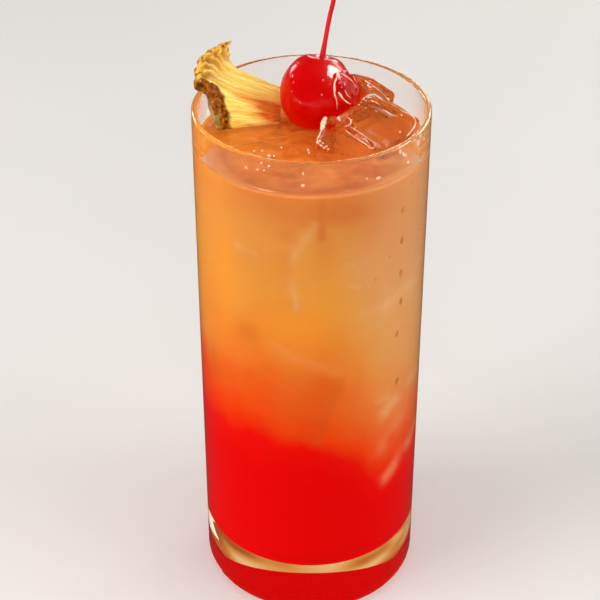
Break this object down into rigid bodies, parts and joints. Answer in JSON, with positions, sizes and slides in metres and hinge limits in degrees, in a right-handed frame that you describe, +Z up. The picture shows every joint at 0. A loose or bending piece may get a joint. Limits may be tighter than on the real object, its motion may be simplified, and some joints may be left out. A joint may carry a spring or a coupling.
{
  "type": "layered cocktail in a tall glass",
  "caption": "Tall straight glass of a layered red and orange iced drink, with a stemmed cherry and a dried pineapple wedge resting on the rim.",
  "frame": {"origin": "centre of the flat ring that the glass stands on", "axes": "+Z is up along the glass's axis, -Y is the side that faces the viewer, and +X is to the viewer's right"},
  "size_m": [0.0643, 0.064, 0.1986],
  "materials": {
    "clear_glass": "polished clear glass",
    "red_layer": "cloudy red syrup layer",
    "orange_layer": "cloudy orange juice layer",
    "ice": "clear wet ice",
    "cherry_skin": "glossy wet fruit skin",
    "cherry_stem": "glossy wet stem",
    "pineapple": "dried fibrous fruit with a brown rind"
  },
  "bodies": {
    "root": {"glass": "clear_glass", "drink_red_layer": "red_layer", "drink_orange_layer": "orange_layer", "ice_front_right": "ice", "ice_back_right": "ice", "ice_front_middle": "ice", "ice_front_left": "ice", "cherry": "cherry_skin", "cherry_stem": "cherry_stem", "pineapple_wedge": "pineapple"}
  },
  "joints": []
}
